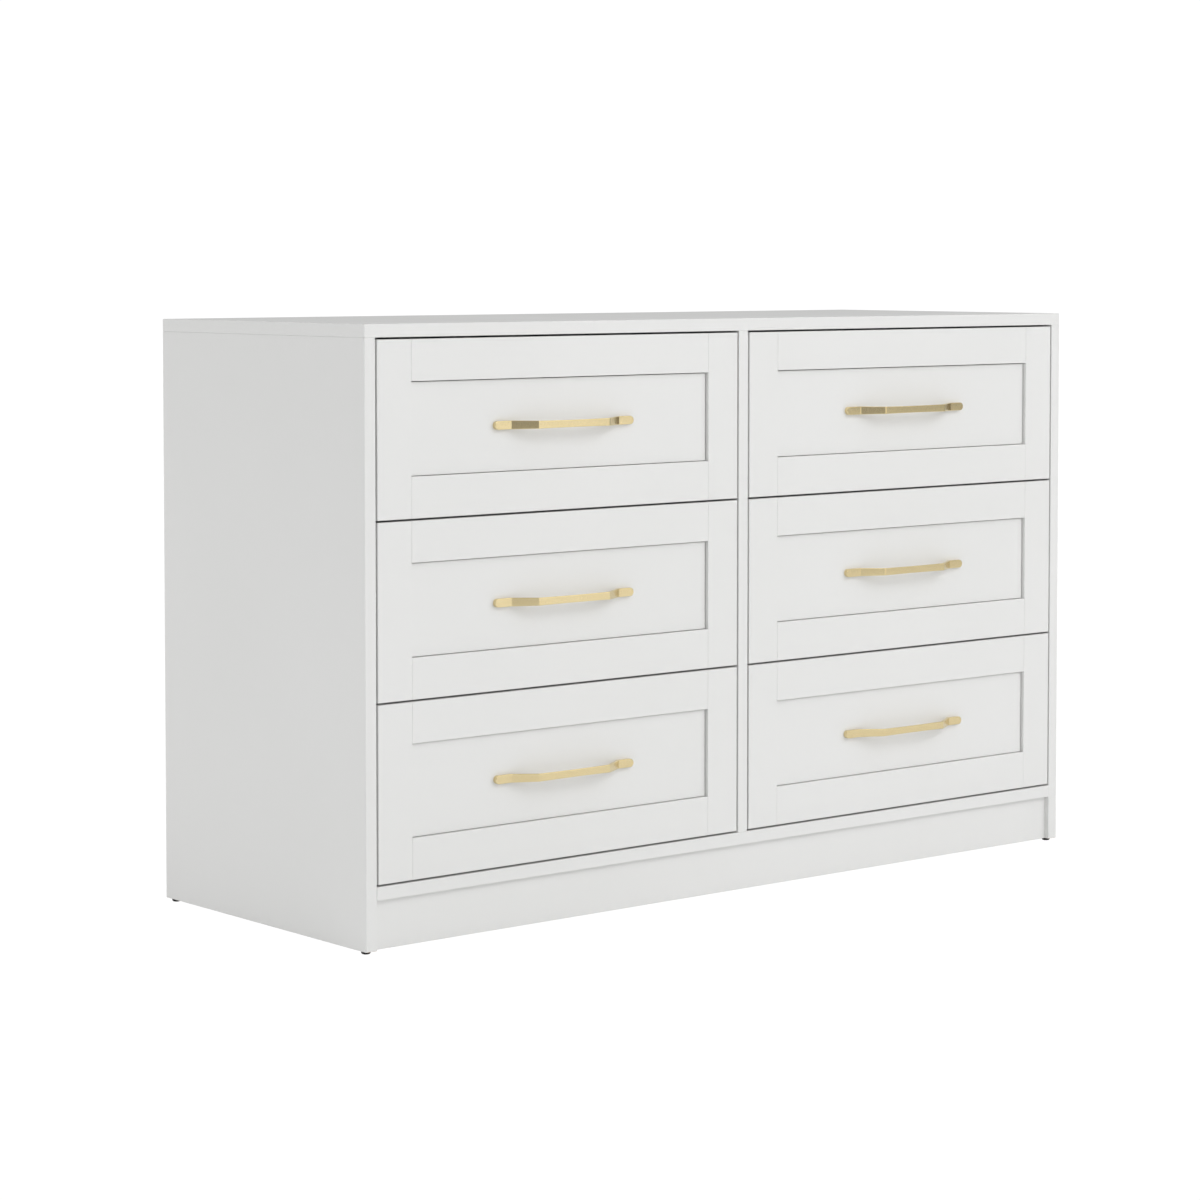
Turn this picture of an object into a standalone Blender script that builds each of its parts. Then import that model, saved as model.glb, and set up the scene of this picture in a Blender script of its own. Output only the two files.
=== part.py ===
"""Six-drawer dresser: a flat-pack carcass on glides, with two columns of three inset drawers.

Metres, +Z up. The front faces -Y and the length runs along X. The origin is the bottom centre of the
whole object, handles included. Each drawer hangs on two runner rails that ride in grooves in its
sides, and slides towards -Y.
"""

import math

import bmesh
import bpy
from mathutils import Vector

# Air left between pieces that touch.
GAP = 0.0003

# Carcass.
WIDTH = 1.200
DEPTH = 0.438
BODY_HEIGHT = 0.742
BOARD = 0.016
PLINTH_HEIGHT = 0.060
PLINTH_RECESS = 0.007
FOOT_HEIGHT = 0.004
FOOT_RADIUS = 0.0058
FOOT_INSET = 0.012
FOOT_SIDES = 24

# Hardboard back, held in grooves.
BACK_THICK = 0.003
BACK_INSET = 0.012
BACK_GROOVE = 0.006

# Drawer fronts: a frame of stiles and rails around a recessed panel.
ROWS = 3
FRONT_GAP = 0.0025
FRAME_WIDTH = 0.050
PANEL_RECESS = 0.005

# Drawer boxes.
DRAWER_BOARD = 0.015
DRAWER_HEIGHT = 0.160
DRAWER_LIFT = 0.015
DRAWER_LENGTH = 0.380
DRAWER_CLEARANCE = 0.003
BOTTOM_THICK = 0.004
BOTTOM_LIFT = 0.010
BOTTOM_GROOVE = 0.005

# Runner rails, screwed to the carcass.
RUNNER_HEIGHT = 0.017
RUNNER_THICK = 0.011
RUNNER_START = 0.040
RUNNER_LIFT = 0.085
RUNNER_GROOVE = 0.009
RUNNER_PLAY = 0.001
RUNNER_NOSE_STEPS = 8

# Strap handle: two thick foot tabs, two sloping legs and a bar, measured along its front face.
HANDLE_LENGTH = 0.220
HANDLE_FOOT = 0.0245
HANDLE_LEG_RUN = 0.0293
HANDLE_HEIGHT = 0.0235
FOOT_THICK = 0.0055
STRAP_THICK = 0.0033
STRAP_END_WIDTH = 0.0106
STRAP_MIDDLE_WIDTH = 0.0090
FOOT_BEND_RADIUS = 0.0025
BAR_BEND_RADIUS = 0.0038
BEND_STEPS = 4
TIP_STEPS = 5
BAR_STEPS = 6

# Places that follow from the dimensions above.
HANDLE_PROUD = HANDLE_HEIGHT - PANEL_RECESS
FRONT_Y = -(DEPTH - HANDLE_PROUD) / 2
BACK_Y = FRONT_Y + DEPTH
TOP_Z = FOOT_HEIGHT + BODY_HEIGHT
OPENING_TOP = TOP_Z - BOARD
BOTTOM_PANEL_Z = FOOT_HEIGHT + PLINTH_HEIGHT
OPENING_BOTTOM = BOTTOM_PANEL_Z + BOARD
INNER_X = WIDTH / 2 - BOARD
OPENING_WIDTH = (WIDTH - 3 * BOARD) / 2
FRONT_WIDTH = OPENING_WIDTH - 2 * FRONT_GAP
FRONT_HEIGHT = (OPENING_TOP - OPENING_BOTTOM - (ROWS + 1) * FRONT_GAP) / ROWS
BACK_PANEL_Y = BACK_Y - BACK_INSET - BACK_THICK
DRAWER_OUTER_X = OPENING_WIDTH / 2 - DRAWER_CLEARANCE
DRAWER_INNER_X = DRAWER_OUTER_X - DRAWER_BOARD
DRAWER_BACK_Y = BOARD + DRAWER_LENGTH


def clear_scene():
    for thing in list(bpy.data.objects):
        bpy.data.objects.remove(thing)


def make_material(name, colour, roughness, metallic=0.0):
    material = bpy.data.materials.new(name)
    material.use_nodes = True
    shader = material.node_tree.nodes["Principled BSDF"]
    shader.inputs["Base Color"].default_value = (*colour, 1.0)
    shader.inputs["Roughness"].default_value = roughness
    shader.inputs["Metallic"].default_value = metallic
    return material


def add_empty(name, location):
    """A drawer's own frame, on the line that it slides along."""
    empty = bpy.data.objects.new(name, None)
    empty.location = location
    bpy.context.scene.collection.objects.link(empty)
    return empty


def add_object(name, shape, material, location, parent):
    """Turns a bmesh into an object, its points being counted from its location."""
    mesh = bpy.data.meshes.new(name)
    bmesh.ops.recalc_face_normals(shape, faces=shape.faces)
    shape.to_mesh(mesh)
    shape.free()
    thing = bpy.data.objects.new(name, mesh)
    thing.location = location
    thing.parent = parent
    if material:
        mesh.materials.append(material)
    bpy.context.scene.collection.objects.link(thing)
    return thing


def add_board(name, low, high, material, parent=None):
    """A rectangular board between two opposite corners, its origin at its centre."""
    low = Vector(low)
    high = Vector(high)
    shape = bmesh.new()
    bmesh.ops.create_cube(shape, size=1.0)
    bmesh.ops.scale(shape, vec=high - low, verts=shape.verts)
    return add_object(name, shape, material, (low + high) / 2, parent)


def add_round_nosed_bar(name, low, high, material, parent=None):
    """A bar between two opposite corners, whose front end is a half circle seen from the side."""
    low = Vector(low)
    high = Vector(high)
    radius = (high.z - low.z) / 2
    middle_z = (low.z + high.z) / 2
    outline = [(high.y, low.z), (high.y, high.z)]
    for step in range(RUNNER_NOSE_STEPS + 1):
        angle = math.pi * (0.5 + step / RUNNER_NOSE_STEPS)
        outline.append(
            (low.y + radius + radius * math.cos(angle), middle_z + radius * math.sin(angle))
        )
    centre = (low + high) / 2
    shape = bmesh.new()
    corners = [
        shape.verts.new((low.x - centre.x, y - centre.y, z - centre.z)) for y, z in outline
    ]
    face = shape.faces.new(corners)
    pulled = bmesh.ops.extrude_face_region(shape, geom=[face])["geom"]
    moved = [item for item in pulled if isinstance(item, bmesh.types.BMVert)]
    bmesh.ops.translate(shape, vec=(high.x - low.x, 0, 0), verts=moved)
    return add_object(name, shape, material, centre, parent)


def cut_with(board, cutter, label):
    """Cuts the cutter's shape out of the board, and keeps the cutter as a hidden helper."""
    cutter.hide_render = True
    cutter.display_type = "WIRE"
    cut = board.modifiers.new(label, "BOOLEAN")
    cut.operation = "DIFFERENCE"
    cut.solver = "EXACT"
    cut.object = cutter


def cut_box(board, label, low, high):
    """Cuts a groove or rebate between two corners, given in the same space as the board's."""
    cut_with(board, add_board(f"{board.name}_{label}", low, high, None, board.parent), label)


def add_carcass(materials):
    white = materials["white_board"]
    side_top = OPENING_TOP - GAP
    groove_front = BACK_PANEL_Y - GAP
    groove_back = BACK_PANEL_Y + BACK_THICK + GAP
    groove_x = INNER_X + BACK_GROOVE

    top = add_board(
        "top_panel", (-WIDTH / 2, FRONT_Y, OPENING_TOP), (WIDTH / 2, BACK_Y, TOP_Z), white
    )
    cut_box(
        top,
        "back_groove",
        (-groove_x, groove_front, OPENING_TOP - BACK_GROOVE),
        (groove_x, groove_back, OPENING_TOP + BACK_GROOVE),
    )

    for side, name in ((-1, "left_side_panel"), (1, "right_side_panel")):
        inner = side * INNER_X
        outer = side * WIDTH / 2
        panel = add_board(
            name,
            (min(inner, outer), FRONT_Y, FOOT_HEIGHT),
            (max(inner, outer), BACK_Y, side_top),
            white,
        )
        cut_box(
            panel,
            "back_groove",
            (inner - BACK_GROOVE, groove_front, 0),
            (inner + BACK_GROOVE, groove_back, TOP_Z),
        )

    divider = add_board(
        "centre_divider",
        (-BOARD / 2, FRONT_Y, OPENING_BOTTOM + GAP),
        (BOARD / 2, BACK_Y, side_top),
        white,
    )
    for side, label in ((-1, "left_groove"), (1, "right_groove")):
        face = side * BOARD / 2
        cut_box(
            divider,
            label,
            (face - BACK_GROOVE, groove_front, 0),
            (face + BACK_GROOVE, groove_back, TOP_Z),
        )

    add_board(
        "bottom_panel",
        (-INNER_X + GAP, FRONT_Y, BOTTOM_PANEL_Z),
        (INNER_X - GAP, BACK_PANEL_Y - GAP, OPENING_BOTTOM),
        white,
    )
    add_board(
        "front_plinth",
        (-INNER_X + GAP, FRONT_Y + PLINTH_RECESS, FOOT_HEIGHT),
        (INNER_X - GAP, FRONT_Y + PLINTH_RECESS + BOARD, BOTTOM_PANEL_Z - GAP),
        white,
    )
    add_back_panels(materials["hardboard"])
    add_feet(materials["foot_plastic"])


def add_back_panels(material):
    """Two thin panels, in the grooves of the sides, the divider and the top, and behind the bottom."""
    wall_x = INNER_X + BACK_GROOVE - GAP
    middle_x = BOARD / 2 - BACK_GROOVE + GAP
    for side, name in ((-1, "back_panel_left"), (1, "back_panel_right")):
        ends = sorted((side * wall_x, side * middle_x))
        add_board(
            name,
            (ends[0], BACK_PANEL_Y, BOTTOM_PANEL_Z),
            (ends[1], BACK_PANEL_Y + BACK_THICK, OPENING_TOP + BACK_GROOVE - GAP),
            material,
        )


def add_feet(material):
    """Nail-on glides under the edges of the side panels."""
    height = FOOT_HEIGHT - GAP
    for side, x_name in ((-1, "left"), (1, "right")):
        for y, y_name in ((FRONT_Y + FOOT_INSET, "front"), (BACK_Y - FOOT_INSET, "back")):
            shape = bmesh.new()
            bmesh.ops.create_cone(
                shape,
                cap_ends=True,
                segments=FOOT_SIDES,
                radius1=FOOT_RADIUS,
                radius2=FOOT_RADIUS,
                depth=height,
            )
            foot = add_object(
                f"foot_{y_name}_{x_name}",
                shape,
                material,
                (side * (WIDTH - BOARD) / 2, y, height / 2),
                None,
            )
            foot.data.shade_smooth()
            foot.data.set_sharp_from_angle(angle=math.radians(40))


def add_front(prefix, materials, frame):
    """A drawer front: its outer face is inset to the frame's width and sunk to make the panel."""
    shape = bmesh.new()
    bmesh.ops.create_cube(shape, size=1.0)
    bmesh.ops.scale(shape, vec=(FRONT_WIDTH, BOARD, FRONT_HEIGHT), verts=shape.verts)
    outer_face = min(shape.faces, key=lambda face: face.calc_center_median().y)
    bmesh.ops.inset_region(shape, faces=[outer_face], thickness=FRAME_WIDTH)
    recess = bmesh.ops.extrude_discrete_faces(shape, faces=[outer_face])["faces"][0]
    bmesh.ops.translate(shape, vec=(0, PANEL_RECESS, 0), verts=recess.verts)
    front = add_object(
        f"{prefix}_front",
        shape,
        materials["white_board"],
        (0, BOARD / 2, FRONT_HEIGHT / 2),
        frame,
    )
    groove_x = DRAWER_INNER_X + BOTTOM_GROOVE
    groove_z = DRAWER_LIFT + BOTTOM_LIFT
    cut_box(
        front,
        "bottom_groove",
        (-groove_x, BOARD - BOTTOM_GROOVE, groove_z - GAP),
        (groove_x, BOARD + BOTTOM_GROOVE, groove_z + BOTTOM_THICK + GAP),
    )


def add_drawer_box(prefix, materials, frame):
    """Two grooved sides, a back, and a bottom that lies in the grooves and runs under the back."""
    board = materials["drawer_board"]
    low_z = DRAWER_LIFT
    high_z = DRAWER_LIFT + DRAWER_HEIGHT
    bottom_z = low_z + BOTTOM_LIFT
    runner_z = low_z + RUNNER_LIFT

    for side, name in ((-1, "left"), (1, "right")):
        inner = side * DRAWER_INNER_X
        outer = side * DRAWER_OUTER_X
        panel = add_board(
            f"{prefix}_{name}_side",
            (min(inner, outer), BOARD + GAP, low_z),
            (max(inner, outer), DRAWER_BACK_Y, high_z),
            board,
            frame,
        )
        cut_box(
            panel,
            "bottom_groove",
            (inner - BOTTOM_GROOVE, 0, bottom_z - GAP),
            (inner + BOTTOM_GROOVE, DRAWER_BACK_Y + BOARD, bottom_z + BOTTOM_THICK + GAP),
        )
        # The round end of the groove meets the round nose of the rail: the stop when shut.
        cutter = add_round_nosed_bar(
            f"{panel.name}_runner_groove",
            (outer - RUNNER_GROOVE, RUNNER_START - RUNNER_PLAY / 2, runner_z + GAP - RUNNER_PLAY),
            (outer + RUNNER_GROOVE, DRAWER_BACK_Y + BOARD, runner_z + GAP + RUNNER_HEIGHT),
            None,
            frame,
        )
        cut_with(panel, cutter, "runner_groove")

    add_board(
        f"{prefix}_back",
        (-DRAWER_INNER_X + GAP, DRAWER_BACK_Y - DRAWER_BOARD, bottom_z + BOTTOM_THICK + GAP),
        (DRAWER_INNER_X - GAP, DRAWER_BACK_Y, high_z),
        board,
        frame,
    )
    bottom_x = DRAWER_INNER_X + BOTTOM_GROOVE - GAP
    add_board(
        f"{prefix}_bottom",
        (-bottom_x, BOARD - BOTTOM_GROOVE + GAP, bottom_z),
        (bottom_x, DRAWER_BACK_Y, bottom_z + BOTTOM_THICK),
        materials["hardboard"],
        frame,
    )


def add_runners(prefix, material, centre_x, front_z):
    """The two rails of a drawer, fixed to the carcass, each with a round nose at the front."""
    low_z = front_z + DRAWER_LIFT + RUNNER_LIFT
    for side, name in ((-1, "left"), (1, "right")):
        wall = centre_x + side * (OPENING_WIDTH / 2 - GAP)
        nose = centre_x + side * (OPENING_WIDTH / 2 - RUNNER_THICK)
        rail = add_round_nosed_bar(
            f"{prefix}_{name}_runner",
            (min(wall, nose), FRONT_Y + RUNNER_START, low_z),
            (max(wall, nose), FRONT_Y + DRAWER_BACK_Y, low_z + RUNNER_HEIGHT),
            material,
        )
        rail.data.shade_smooth()
        rail.data.set_sharp_from_angle(angle=math.radians(40))


def rounded_corner(before, corner, after, radius):
    """Points of the arc that rounds a corner between two straight runs, in (x, height)."""
    to_before = (before - corner).normalized()
    to_after = (after - corner).normalized()
    half_angle = to_before.angle(to_after) / 2
    reach = radius / math.tan(half_angle)
    centre = corner + (to_before + to_after).normalized() * radius / math.sin(half_angle)
    start = corner + to_before * reach - centre
    end = corner + to_after * reach - centre
    turn = start.angle_signed(end)
    points = []
    for step in range(BEND_STEPS + 1):
        angle = -turn * step / BEND_STEPS
        spoke = Vector((
            start.x * math.cos(angle) - start.y * math.sin(angle),
            start.x * math.sin(angle) + start.y * math.cos(angle),
        ))
        points.append(centre + spoke)
    return points


def strap_width(x):
    """The strap's width: widest on the feet and waisted at the middle of the bar."""
    reach = min(1.0, abs(x) / (HANDLE_LENGTH / 2 - HANDLE_FOOT))
    width = STRAP_MIDDLE_WIDTH + (STRAP_END_WIDTH - STRAP_MIDDLE_WIDTH) * reach * reach
    tip = HANDLE_LENGTH / 2 - abs(x)
    radius = STRAP_END_WIDTH / 2
    if tip < radius:
        width = 2 * math.sqrt(max(0.0, radius**2 - (radius - tip) ** 2))
    return width


def strap_line():
    """The strap's front line from the left tip to the right one, as ((x, height over the panel), depth)."""
    half = HANDLE_LENGTH / 2
    foot_corner = Vector((-half + HANDLE_FOOT, FOOT_THICK))
    bar_corner = Vector((-half + HANDLE_FOOT + HANDLE_LEG_RUN, HANDLE_HEIGHT))
    radius = STRAP_END_WIDTH / 2
    foot_depth = FOOT_THICK - GAP
    line = []
    for step in range(TIP_STEPS + 1):
        angle = math.pi / 2 * (step + 0.5) / (TIP_STEPS + 0.5)
        line.append((Vector((-half + radius - radius * math.cos(angle), FOOT_THICK)), foot_depth))
    tip = line[0][0]
    middle = Vector((0, HANDLE_HEIGHT))
    foot_bend = rounded_corner(tip, foot_corner, bar_corner, FOOT_BEND_RADIUS)
    for step, point in enumerate(foot_bend):
        share = step / BEND_STEPS
        line.append((point, foot_depth + (STRAP_THICK - foot_depth) * share))
    bar_bend = rounded_corner(foot_corner, bar_corner, middle, BAR_BEND_RADIUS)
    line += [(point, STRAP_THICK) for point in bar_bend]
    start_x = bar_bend[-1].x
    for step in range(1, BAR_STEPS):
        line.append((Vector((start_x * (1 - step / BAR_STEPS), HANDLE_HEIGHT)), STRAP_THICK))
    mirrored = [(Vector((-point.x, point.y)), depth) for point, depth in reversed(line)]
    return line + [(middle, STRAP_THICK)] + mirrored


def add_handle(prefix, material, frame):
    """The strap, swept as a rectangle behind its front line; heights point towards -Y."""
    line = strap_line()
    shape = bmesh.new()
    rings = []
    for index, (point, depth) in enumerate(line):
        before = line[max(index - 1, 0)][0]
        after = line[min(index + 1, len(line) - 1)][0]
        along = (after - before).normalized()
        behind = Vector((along.y, -along.x)) * depth
        half_width = strap_width(point.x) / 2
        ring = []
        for side, place in (
            (-1, point + behind),
            (1, point + behind),
            (1, point),
            (-1, point),
        ):
            ring.append(shape.verts.new((place.x, -place.y, side * half_width)))
        rings.append(ring)
    for first, second in zip(rings, rings[1:]):
        for corner in range(4):
            after_corner = (corner + 1) % 4
            shape.faces.new(
                (first[corner], first[after_corner], second[after_corner], second[corner])
            )
    shape.faces.new(rings[0])
    shape.faces.new(rings[-1])
    handle = add_object(
        f"{prefix}_handle", shape, material, (0, PANEL_RECESS, FRONT_HEIGHT / 2), frame
    )
    handle.data.shade_smooth()
    handle.data.set_sharp_from_angle(angle=math.radians(40))


def add_drawer(prefix, materials, centre_x, front_z):
    """One drawer on its own empty, with its rails on the carcass beside it."""
    frame = add_empty(f"{prefix}_frame", (centre_x, FRONT_Y, front_z))
    add_front(prefix, materials, frame)
    add_handle(prefix, materials["handle_metal"], frame)
    add_drawer_box(prefix, materials, frame)
    add_runners(prefix, materials["runner_plastic"], centre_x, front_z)


def main():
    clear_scene()
    materials = {
        "white_board": make_material("white_board", (0.82, 0.82, 0.81), 0.35),
        "drawer_board": make_material("drawer_board", (0.74, 0.74, 0.73), 0.5),
        "hardboard": make_material("hardboard", (0.76, 0.75, 0.73), 0.6),
        "handle_metal": make_material("handle_metal", (0.76, 0.60, 0.33), 0.3, 1.0),
        "runner_plastic": make_material("runner_plastic", (0.62, 0.62, 0.62), 0.5),
        "foot_plastic": make_material("foot_plastic", (0.04, 0.04, 0.04), 0.6),
    }
    add_carcass(materials)
    column_offset = (OPENING_WIDTH + BOARD) / 2
    for row, row_name in enumerate(("bottom", "middle", "top")):
        front_z = OPENING_BOTTOM + FRONT_GAP + row * (FRONT_HEIGHT + FRONT_GAP)
        add_drawer(f"drawer_{row_name}_left", materials, -column_offset, front_z)
        add_drawer(f"drawer_{row_name}_right", materials, column_offset, front_z)


main()
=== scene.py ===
"""Looks of the six-drawer dresser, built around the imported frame.

Metres, +Z up, the front facing -Y. Every board, rail, handle and fixing is placed from the frame's own
boxes. Boards that butt against each other keep nearly sharp edges there, and soft ones everywhere else.
Numbers that belong to one shape or one material stay with it; the others are named below.
"""

import math

import bmesh
import bpy
from mathutils import Matrix, Vector


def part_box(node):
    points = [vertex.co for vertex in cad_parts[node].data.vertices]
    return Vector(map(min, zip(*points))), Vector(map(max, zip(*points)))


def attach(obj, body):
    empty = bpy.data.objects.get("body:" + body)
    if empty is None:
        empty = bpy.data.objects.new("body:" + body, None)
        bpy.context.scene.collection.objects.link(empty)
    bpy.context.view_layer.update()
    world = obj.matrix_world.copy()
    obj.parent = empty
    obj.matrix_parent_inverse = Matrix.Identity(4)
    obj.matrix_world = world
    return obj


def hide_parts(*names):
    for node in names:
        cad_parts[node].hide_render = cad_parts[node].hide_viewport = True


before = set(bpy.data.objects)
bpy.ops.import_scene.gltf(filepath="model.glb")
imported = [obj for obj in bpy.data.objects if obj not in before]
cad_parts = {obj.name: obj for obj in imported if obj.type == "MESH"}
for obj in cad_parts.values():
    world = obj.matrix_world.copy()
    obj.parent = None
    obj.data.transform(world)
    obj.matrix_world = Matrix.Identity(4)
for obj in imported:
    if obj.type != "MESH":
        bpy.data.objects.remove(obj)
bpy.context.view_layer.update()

ROWS = ("bottom", "middle", "top")
COLUMNS = ("left", "right")
DRAWERS = [f"drawer_{row}_{column}" for row in ROWS for column in COLUMNS]

# Edge radii of boards, and the air that boards keep to each other and to what slides in them.
BANDED_EDGE = 0.0009
FRONT_EDGE = 0.0007
INNER_EDGE = 0.0004
JOINT_EDGE = 0.00018
EDGE_STEPS = 3
JOINT_AIR = 0.0001
GROOVE_AIR = 0.0003

# Drawer fronts. The panel rests low in its frame, so it has the most air above it.
FRAME_WIDTH = 0.050
PANEL_RECESS = 0.005
PANEL_AIR_BELOW = 0.0007
PANEL_AIR_ABOVE = 0.0011
PANEL_AIR_BESIDE = 0.0010
SEAM_EDGE = 0.00035
SEAM_AIR = 0.00009

# Runner rails and their grooves in the drawer sides.
RAIL_RIM = 0.0006
RAIL_NOSE_STEPS = 16
RAIL_HOLLOW_DEPTH = 0.0015
RAIL_HOLLOW_MARGIN = 0.0045
RAIL_SCREWS = 3
RAIL_SCREW_FROM_FRONT = 0.030
RAIL_SCREW_FROM_REAR = 0.040
RAIL_SCREW_CLEARANCE = 0.012
RAIL_SIDE_AIR = 0.001
RAIL_NOSE_AIR = 0.0005
RAIL_UNDER_AIR = 0.0007
RAIL_OVER_AIR = 0.0003

# Strap handles, along their front face.
STRAP_THICK = 0.0033
STRAP_FOOT_THICK = 0.0055
STRAP_MIDDLE_WIDTH = 0.0090
STRAP_FOOT = 0.0245
STRAP_LEG_RUN = 0.0293
FOOT_BEND = 0.0025
BAR_BEND = 0.0038
STRAP_FRONT_RIM = 0.0005
STRAP_BACK_RIM = 0.0002
HANDLE_HOLE_OFFSET = 0.096
TIP_STEPS = 12
WAIST_STEPS = 26
BEND_STEPS = 10
STRAIGHT_STEP = 0.010
MESH_TOLERANCE = 1e-6

# Places of fittings: a cam lies this far from the joint that it pulls tight, and in from a board's ends.
CAM_FROM_JOINT = 0.034
CAM_INSET = 0.055
DRAWER_FITTING_RISE = 0.045
BACK_PIN_INSET = 0.03
BACK_PINS = 7
BASE_PIN_INSET = 0.04
BASE_PINS = 5

# Studio: a floor seen as bright as the backdrop, and a world that is dimmer towards the horizon.
FLOOR_REACH = 8.0
FLOOR_COLOUR = (0.92, 0.92, 0.92, 1.0)
BACKDROP_STRENGTH = 1.05
WORLD_STRENGTH = 0.62
HORIZON_BAND = 0.45
HORIZON_LEVEL = 0.35
LIGHT_AIM = Vector((0, 0, 0.4))
LIGHT_DISTANCE = 4.6

# Camera, placed from the lower front corner of the left side panel. Degrees, and millimetres of lens.
CAMERA_FROM_CORNER = (-2.22360, -3.09315, 0.81704)
CAMERA_YAW = 39.861
CAMERA_PITCH = 2.822
CAMERA_SENSOR = 36.0
CAMERA_LENS = 97.535
CAMERA_SHIFT = -0.15


# ---------------------------------------------------------------------------------------------------
# Materials


class Finish:
    """A material under construction, with short names for the nodes that feed its shader."""

    def __init__(self, name, roughness, metallic=0.0):
        self.material = bpy.data.materials.new(name)
        self.material.use_nodes = True
        self.nodes = self.material.node_tree.nodes
        self.links = self.material.node_tree.links
        self.shader = self.nodes["Principled BSDF"]
        self.shader.inputs["Roughness"].default_value = roughness
        self.shader.inputs["Metallic"].default_value = metallic
        self.place = self.nodes.new("ShaderNodeTexCoord").outputs["Object"]

    def stretched(self, size):
        """Coordinates in which a cell is size[0] x size[1] x size[2] metres."""
        mapping = self.nodes.new("ShaderNodeMapping")
        mapping.inputs["Scale"].default_value = [1 / side for side in size]
        self.links.new(self.place, mapping.inputs["Vector"])
        return mapping.outputs["Vector"]

    def noise(self, size, detail=2.0):
        """Soft noise whose cells have the given size: one length, or one for each axis."""
        size = size if isinstance(size, tuple) else (size, size, size)
        texture = self.nodes.new("ShaderNodeTexNoise")
        texture.inputs["Scale"].default_value = 1.0
        texture.inputs["Detail"].default_value = detail
        self.links.new(self.stretched(size), texture.inputs["Vector"])
        return texture.outputs["Fac"]

    def chips(self, size):
        """Random grey cells of the given size."""
        texture = self.nodes.new("ShaderNodeTexVoronoi")
        texture.inputs["Scale"].default_value = 1.0
        self.links.new(self.stretched(size), texture.inputs["Vector"])
        grey = self.nodes.new("ShaderNodeRGBToBW")
        self.links.new(texture.outputs["Color"], grey.inputs["Color"])
        return grey.outputs["Val"]

    def colour(self, factor, *stops):
        """Colours the surface from a factor, through (position, colour) stops."""
        ramp = self.nodes.new("ShaderNodeValToRGB")
        elements = ramp.color_ramp.elements
        while len(elements) < len(stops):
            elements.new(0.5)
        for element, (position, value) in zip(elements, stops):
            element.position = position
            element.color = (*value, 1.0)
        self.links.new(factor, ramp.inputs["Fac"])
        self.links.new(ramp.outputs["Color"], self.shader.inputs["Base Color"])

    def roughness(self, factor, low, high):
        spread = self.nodes.new("ShaderNodeMapRange")
        spread.inputs["From Min"].default_value = 0.3
        spread.inputs["From Max"].default_value = 0.7
        spread.inputs["To Min"].default_value = low
        spread.inputs["To Max"].default_value = high
        self.links.new(factor, spread.inputs["Value"])
        self.links.new(spread.outputs["Result"], self.shader.inputs["Roughness"])

    def bump(self, factor, depth):
        """Raises the surface by up to depth metres, on top of any earlier bump."""
        relief = self.nodes.new("ShaderNodeBump")
        relief.inputs["Distance"].default_value = depth
        self.links.new(factor, relief.inputs["Height"])
        normal = self.shader.inputs["Normal"]
        if normal.is_linked:
            self.links.new(normal.links[0].from_socket, relief.inputs["Normal"])
        self.links.new(relief.outputs["Normal"], normal)


def white_foil():
    """Satin white foil and edge banding: very faint mottling and the orange peel of a pressed face."""
    finish = Finish("white_foil", 0.34)
    finish.colour(
        finish.noise(0.35, 1.0),
        (0.35, (0.807, 0.809, 0.797)),
        (0.65, (0.822, 0.823, 0.813)),
    )
    finish.roughness(finish.noise(0.05), 0.32, 0.37)
    finish.bump(finish.noise(0.0022), 0.000012)
    finish.bump(finish.noise(0.0005, 1.0), 0.000003)
    return finish.material


def drawer_foil():
    """The thinner, slightly greyer foil of the drawer boxes, with a fine pressed grain."""
    finish = Finish("drawer_foil", 0.45)
    finish.colour(
        finish.noise(0.12, 2.0),
        (0.35, (0.735, 0.738, 0.730)),
        (0.65, (0.755, 0.757, 0.750)),
    )
    finish.roughness(finish.noise(0.02), 0.42, 0.50)
    finish.bump(finish.noise((0.0006, 0.006, 0.0006)), 0.00002)
    return finish.material


def bare_chipboard():
    """Sawn edges of the boards: pressed chips in tans, with darker specks."""
    finish = Finish("bare_chipboard", 0.85)
    finish.colour(
        finish.chips((0.0022, 0.0022, 0.0009)),
        (0.10, (0.205, 0.118, 0.055)),
        (0.35, (0.420, 0.270, 0.140)),
        (0.60, (0.560, 0.390, 0.225)),
        (0.90, (0.680, 0.510, 0.320)),
    )
    finish.bump(finish.noise(0.0009, 3.0), 0.00012)
    return finish.material


def brown_hardboard():
    """The bare side of the hardboard: matted brown fibres with a fine mesh relief."""
    finish = Finish("brown_hardboard", 0.8)
    finish.colour(
        finish.noise((0.006, 0.0015, 0.0012), 5.0),
        (0.32, (0.240, 0.140, 0.070)),
        (0.50, (0.330, 0.205, 0.110)),
        (0.68, (0.430, 0.285, 0.165)),
    )
    finish.bump(finish.noise(0.0012, 2.0), 0.00008)
    return finish.material


def white_hardboard():
    """The lacquered side of the hardboard, a little flatter and warmer than the foil."""
    finish = Finish("white_hardboard", 0.5)
    finish.colour(
        finish.noise(0.18, 2.0),
        (0.35, (0.755, 0.752, 0.735)),
        (0.65, (0.785, 0.782, 0.765)),
    )
    finish.roughness(finish.noise(0.03), 0.45, 0.55)
    finish.bump(finish.noise(0.0015, 2.0), 0.00002)
    return finish.material


def champagne_metal():
    """Satin champagne gold: faintly brushed along the strap, with a slight drift in tone and gloss."""
    finish = Finish("champagne_metal", 0.19, 1.0)
    finish.colour(
        finish.noise((0.05, 0.01, 0.004), 2.0),
        (0.30, (0.795, 0.655, 0.372)),
        (0.70, (0.815, 0.680, 0.395)),
    )
    finish.roughness(finish.noise((0.02, 0.001, 0.0006), 3.0), 0.17, 0.21)
    finish.bump(finish.noise((0.02, 0.0004, 0.0004), 2.0), 0.0000007)
    return finish.material


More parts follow.
